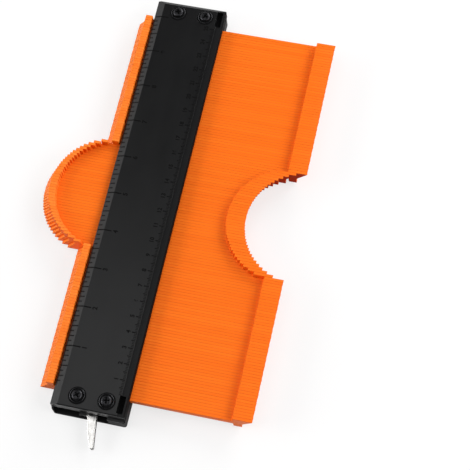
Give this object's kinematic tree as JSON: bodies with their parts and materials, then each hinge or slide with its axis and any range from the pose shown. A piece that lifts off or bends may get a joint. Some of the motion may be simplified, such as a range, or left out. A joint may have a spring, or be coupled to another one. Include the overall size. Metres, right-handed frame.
{
  "type": "contour gauge",
  "caption": "Profile gauge whose sliding plastic fins copy the outline of an object and are locked between two body halves by a small cam lever.",
  "frame": {"origin": "middle of the rear shell's flat underside", "axes": "+X along the body towards the lever, +Y along the fins towards the longer side, +Z out of the face with the rulers"},
  "size_m": [0.2974, 0.1633, 0.0192],
  "materials": {
    "black_plastic": "finely textured moulding",
    "orange_plastic": "satin moulding",
    "black_rubber": "matt strip",
    "grey_plastic": "plain moulding",
    "bright_steel": "stamped and plated",
    "dark_steel": "black oxide"
  },
  "bodies": {
    "case": {"front_shell": "black_plastic", "rear_shell": "black_plastic", "front_pad": "black_rubber", "lever_pivot_pin": "bright_steel", "case_screw_1": "dark_steel", "case_screw_2": "dark_steel", "case_screw_3": "dark_steel", "case_screw_4": "dark_steel", "screw_washer_1": "dark_steel", "screw_washer_2": "dark_steel", "screw_washer_3": "dark_steel", "screw_washer_4": "dark_steel"},
    "lever": {"lock_lever": "bright_steel"},
    "lock_slide": {"lock_bar": "bright_steel", "return_spring": "bright_steel"},
    "clamp": {"clamp_plate": "grey_plastic", "clamp_pad": "black_rubber"},
    "fin_block_01": {"fin_block_01": "orange_plastic"},
    "fin_block_02": {"fin_block_02": "orange_plastic"},
    "fin_block_03": {"fin_block_03": "orange_plastic"},
    "fin_block_04": {"fin_block_04": "orange_plastic"},
    "fin_block_05": {"fin_block_05": "orange_plastic"},
    "fin_block_06": {"fin_block_06": "orange_plastic"},
    "fin_block_07": {"fin_block_07": "orange_plastic"},
    "fin_block_08": {"fin_block_08": "orange_plastic"},
    "fin_block_09": {"fin_block_09": "orange_plastic"},
    "fin_block_10": {"fin_block_10": "orange_plastic"},
    "fin_block_11": {"fin_block_11": "orange_plastic"},
    "fin_block_12": {"fin_block_12": "orange_plastic"},
    "fin_block_13": {"fin_block_13": "orange_plastic"},
    "fin_block_14": {"fin_block_14": "orange_plastic"},
    "fin_block_15": {"fin_block_15": "orange_plastic"},
    "fin_block_16": {"fin_block_16": "orange_plastic"},
    "fin_block_17": {"fin_block_17": "orange_plastic"},
    "fin_block_18": {"fin_block_18": "orange_plastic"},
    "fin_block_19": {"fin_block_19": "orange_plastic"},
    "fin_block_20": {"fin_block_20": "orange_plastic"},
    "fin_block_21": {"fin_block_21": "orange_plastic"},
    "fin_block_22": {"fin_block_22": "orange_plastic"},
    "fin_block_23": {"fin_block_23": "orange_plastic"},
    "fin_block_24": {"fin_block_24": "orange_plastic"},
    "fin_block_25": {"fin_block_25": "orange_plastic"},
    "fin_block_26": {"fin_block_26": "orange_plastic"},
    "fin_block_27": {"fin_block_27": "orange_plastic"},
    "fin_block_28": {"fin_block_28": "orange_plastic"},
    "fin_block_29": {"fin_block_29": "orange_plastic"},
    "fin_block_30": {"fin_block_30": "orange_plastic"},
    "fin_block_31": {"fin_block_31": "orange_plastic"},
    "fin_block_32": {"fin_block_32": "orange_plastic"},
    "fin_block_33": {"fin_block_33": "orange_plastic"},
    "fin_block_34": {"fin_block_34": "orange_plastic"},
    "fin_block_35": {"fin_block_35": "orange_plastic"}
  },
  "joints": [
    {"name": "lever_swing", "type": "hinge", "parent": "case", "child": "lever", "pos_m": [0.13625, 0.0016, 0.0054], "axis": [0, 0, 1], "range_deg": [-104, 0]},
    {"name": "lock_bar_slide", "type": "slide", "parent": "case", "child": "lock_slide", "axis": [1, 0, 0], "range_m": [-0.0027, 0], "deforming": ["return_spring"]},
    {"name": "clamp_lift", "type": "slide", "parent": "case", "child": "clamp", "axis": [0, 0, 1], "range_m": [0, 0.00034]},
    {"name": "fin_block_01_slide", "type": "slide", "parent": "case", "child": "fin_block_01", "axis": [0, 1, 0], "range_m": [-0.06104, 0.0008]},
    {"name": "fin_block_02_slide", "type": "slide", "parent": "case", "child": "fin_block_02", "axis": [0, 1, 0], "range_m": [-0.06104, 0.0008]},
    {"name": "fin_block_03_slide", "type": "slide", "parent": "case", "child": "fin_block_03", "axis": [0, 1, 0], "range_m": [-0.06108, 0.0008]},
    {"name": "fin_block_04_slide", "type": "slide", "parent": "case", "child": "fin_block_04", "axis": [0, 1, 0], "range_m": [-0.06104, 0.0008]},
    {"name": "fin_block_05_slide", "type": "slide", "parent": "case", "child": "fin_block_05", "axis": [0, 1, 0], "range_m": [-0.06104, 0.00084]},
    {"name": "fin_block_06_slide", "type": "slide", "parent": "case", "child": "fin_block_06", "axis": [0, 1, 0], "range_m": [-0.06104, 0.0008]},
    {"name": "fin_block_07_slide", "type": "slide", "parent": "case", "child": "fin_block_07", "axis": [0, 1, 0], "range_m": [-0.06104, 0.0008]},
    {"name": "fin_block_08_slide", "type": "slide", "parent": "case", "child": "fin_block_08", "axis": [0, 1, 0], "range_m": [-0.06108, 0.0008]},
    {"name": "fin_block_09_slide", "type": "slide", "parent": "case", "child": "fin_block_09", "axis": [0, 1, 0], "range_m": [-0.06104, 0.0008]},
    {"name": "fin_block_10_slide", "type": "slide", "parent": "case", "child": "fin_block_10", "axis": [0, 1, 0], "range_m": [-0.06104, 0.00084]},
    {"name": "fin_block_11_slide", "type": "slide", "parent": "case", "child": "fin_block_11", "axis": [0, 1, 0], "range_m": [-0.06104, 0.0008]},
    {"name": "fin_block_12_slide", "type": "slide", "parent": "case", "child": "fin_block_12", "axis": [0, 1, 0], "range_m": [-0.06104, 0.0008]},
    {"name": "fin_block_13_slide", "type": "slide", "parent": "case", "child": "fin_block_13", "axis": [0, 1, 0], "range_m": [-0.05453, 0.0008]},
    {"name": "fin_block_14_slide", "type": "slide", "parent": "case", "child": "fin_block_14", "axis": [0, 1, 0], "range_m": [-0.04221, 0.01191]},
    {"name": "fin_block_15_slide", "type": "slide", "parent": "case", "child": "fin_block_15", "axis": [0, 1, 0], "range_m": [-0.03589, 0.02175]},
    {"name": "fin_block_16_slide", "type": "slide", "parent": "case", "child": "fin_block_16", "axis": [0, 1, 0], "range_m": [-0.03235, 0.02709]},
    {"name": "fin_block_17_slide", "type": "slide", "parent": "case", "child": "fin_block_17", "axis": [0, 1, 0], "range_m": [-0.03041, 0.03034]},
    {"name": "fin_block_18_slide", "type": "slide", "parent": "case", "child": "fin_block_18", "axis": [0, 1, 0], "range_m": [-0.03011, 0.03169]},
    {"name": "fin_block_19_slide", "type": "slide", "parent": "case", "child": "fin_block_19", "axis": [0, 1, 0], "range_m": [-0.03025, 0.0306]},
    {"name": "fin_block_20_slide", "type": "slide", "parent": "case", "child": "fin_block_20", "axis": [0, 1, 0], "range_m": [-0.03184, 0.02799]},
    {"name": "fin_block_21_slide", "type": "slide", "parent": "case", "child": "fin_block_21", "axis": [0, 1, 0], "range_m": [-0.0351, 0.02314]},
    {"name": "fin_block_22_slide", "type": "slide", "parent": "case", "child": "fin_block_22", "axis": [0, 1, 0], "range_m": [-0.04041, 0.01504]},
    {"name": "fin_block_23_slide", "type": "slide", "parent": "case", "child": "fin_block_23", "axis": [0, 1, 0], "range_m": [-0.0502, 0.00083]},
    {"name": "fin_block_24_slide", "type": "slide", "parent": "case", "child": "fin_block_24", "axis": [0, 1, 0], "range_m": [-0.06104, 0.0008]},
    {"name": "fin_block_25_slide", "type": "slide", "parent": "case", "child": "fin_block_25", "axis": [0, 1, 0], "range_m": [-0.06104, 0.00084]},
    {"name": "fin_block_26_slide", "type": "slide", "parent": "case", "child": "fin_block_26", "axis": [0, 1, 0], "range_m": [-0.06104, 0.0008]},
    {"name": "fin_block_27_slide", "type": "slide", "parent": "case", "child": "fin_block_27", "axis": [0, 1, 0], "range_m": [-0.06104, 0.0008]},
    {"name": "fin_block_28_slide", "type": "slide", "parent": "case", "child": "fin_block_28", "axis": [0, 1, 0], "range_m": [-0.06108, 0.0008]},
    {"name": "fin_block_29_slide", "type": "slide", "parent": "case", "child": "fin_block_29", "axis": [0, 1, 0], "range_m": [-0.06104, 0.0008]},
    {"name": "fin_block_30_slide", "type": "slide", "parent": "case", "child": "fin_block_30", "axis": [0, 1, 0], "range_m": [-0.06104, 0.00084]},
    {"name": "fin_block_31_slide", "type": "slide", "parent": "case", "child": "fin_block_31", "axis": [0, 1, 0], "range_m": [-0.06104, 0.0008]},
    {"name": "fin_block_32_slide", "type": "slide", "parent": "case", "child": "fin_block_32", "axis": [0, 1, 0], "range_m": [-0.06104, 0.0008]},
    {"name": "fin_block_33_slide", "type": "slide", "parent": "case", "child": "fin_block_33", "axis": [0, 1, 0], "range_m": [-0.06108, 0.0008]},
    {"name": "fin_block_34_slide", "type": "slide", "parent": "case", "child": "fin_block_34", "axis": [0, 1, 0], "range_m": [-0.06104, 0.0008]},
    {"name": "fin_block_35_slide", "type": "slide", "parent": "case", "child": "fin_block_35", "axis": [0, 1, 0], "range_m": [-0.06104, 0.00084]}
  ],
  "couplings": [
    {"joint": "lever_swing", "follows": "lock_bar_slide", "rad_per_m": 672.27},
    {"joint": "clamp_lift", "follows": "lock_bar_slide", "ratio": -0.12329}
  ]
}
